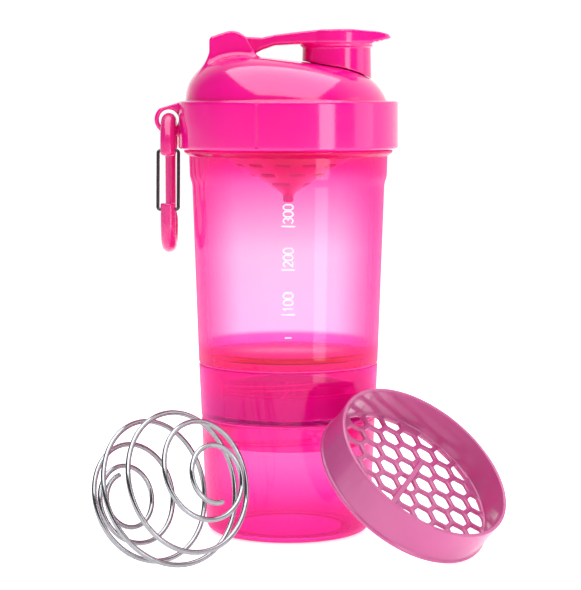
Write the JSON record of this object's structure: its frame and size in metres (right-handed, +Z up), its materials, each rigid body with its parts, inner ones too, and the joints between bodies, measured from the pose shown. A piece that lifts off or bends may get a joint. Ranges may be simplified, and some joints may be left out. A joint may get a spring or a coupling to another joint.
{
  "type": "protein shaker bottle",
  "caption": "Screw-lidded shaker cup with flip-cap spout on two screw-on storage jars, with a carabiner on its collar and a wire mixing ball and round strainer beside it.",
  "frame": {"origin": "centre of the bottle's base, on the surface it stands on", "axes": "+Z up along the bottle's axis, +X from the hinge towards the spout, -Y towards the front with the volume marks"},
  "size_m": [0.1782, 0.1605, 0.2283],
  "materials": {
    "tinted_plastic": "clear tinted plastic, glossy",
    "tray_plastic": "moulded plastic, glossy",
    "strainer_plastic": "moulded plastic, glossy",
    "lid_plastic": "moulded plastic, glossy",
    "seal_silicone": "matt silicone",
    "pin_steel": "ground steel",
    "carabiner_paint": "gloss lacquer on aluminium",
    "gate_steel": "dark burnished wire",
    "ball_steel": "polished stainless wire",
    "sieve_plastic": "clear tinted plastic, satin"
  },
  "bodies": {
    "lower_jar": {"lower_jar": "tinted_plastic"},
    "lower_joint": {"lower_jar_seal": "seal_silicone"},
    "upper_jar": {"upper_jar": "tinted_plastic"},
    "tray": {"pill_tray": "tray_plastic"},
    "upper_joint": {"upper_jar_seal": "seal_silicone"},
    "cup": {"cup": "tinted_plastic"},
    "strainer": {"funnel_strainer": "strainer_plastic"},
    "lid_joint": {"lid_seal": "seal_silicone"},
    "lid": {"lid_shell": "lid_plastic", "hinge_pin": "pin_steel"},
    "flip_cap": {"flip_cap": "lid_plastic", "spout_plug": "seal_silicone"},
    "carabiner": {"carabiner_body": "carabiner_paint"},
    "gate": {"carabiner_gate": "gate_steel"},
    "ball": {"mixing_ball": "ball_steel"},
    "loose_strainer": {"round_strainer": "sieve_plastic"}
  },
  "joints": [
    {"name": "upper_jar_rise", "type": "slide", "parent": "lower_jar", "child": "lower_joint", "axis": [0, 0, 1], "range_m": [0, 0.0134]},
    {"name": "upper_jar_turn", "type": "hinge", "parent": "lower_joint", "child": "upper_jar", "pos_m": [0, 0, 0.0532], "axis": [0, 0, 1], "range_deg": [0, 396]},
    {"name": "tray_lift", "type": "slide", "parent": "upper_jar", "child": "tray", "axis": [0, 0, 1], "range_m": [0, 0.0068]},
    {"name": "cup_rise", "type": "slide", "parent": "upper_jar", "child": "upper_joint", "axis": [0, 0, 1], "range_m": [0, 0.0134]},
    {"name": "cup_turn", "type": "hinge", "parent": "upper_joint", "child": "cup", "pos_m": [0, 0, 0.078], "axis": [0, 0, 1], "range_deg": [0, 396]},
    {"name": "strainer_lift", "type": "slide", "parent": "cup", "child": "strainer", "axis": [0, 0, 1], "range_m": [0, 0.0092]},
    {"name": "lid_rise", "type": "slide", "parent": "cup", "child": "lid_joint", "axis": [0, 0, 1], "range_m": [0, 0.0182]},
    {"name": "lid_turn", "type": "hinge", "parent": "lid_joint", "child": "lid", "pos_m": [0, 0, 0.1944], "axis": [0, 0, 1], "range_deg": [0, 540]},
    {"name": "cap_hinge", "type": "hinge", "parent": "lid", "child": "flip_cap", "pos_m": [-0.0244, 0, 0.2211], "axis": [0, -1, 0], "range_deg": [0, 130]},
    {"name": "carabiner_swing", "type": "hinge", "parent": "lid", "child": "carabiner", "pos_m": [-0.0541, 0, 0.1877], "axis": [0, 1, 0], "range_deg": [-4, 100]},
    {"name": "gate_opening", "type": "hinge", "parent": "carabiner", "child": "gate", "pos_m": [-0.0541, -0.0105, 0.1478], "axis": [-1, 0, 0], "range_deg": [0, 22], "stiffness_Nm_per_rad": 0.004, "springref_deg": -22.92},
    {"name": "ball_lift", "type": "slide", "parent": "lower_jar", "child": "ball", "axis": [0, 0, 1], "range_m": [0, 0.06]},
    {"name": "round_strainer_lift", "type": "slide", "parent": "lower_jar", "child": "loose_strainer", "axis": [0.5083, -0.445, 0.7373], "range_m": [0, 0.06]}
  ],
  "couplings": [
    {"joint": "upper_jar_rise", "follows": "upper_jar_turn", "m_per_rad": 0.0019099},
    {"joint": "cup_rise", "follows": "cup_turn", "m_per_rad": 0.0019099},
    {"joint": "tray_lift", "follows": "cup_turn", "m_per_rad": 0.00095493},
    {"joint": "lid_rise", "follows": "lid_turn", "m_per_rad": 0.0019099},
    {"joint": "strainer_lift", "follows": "lid_turn", "m_per_rad": 0.00095493}
  ]
}
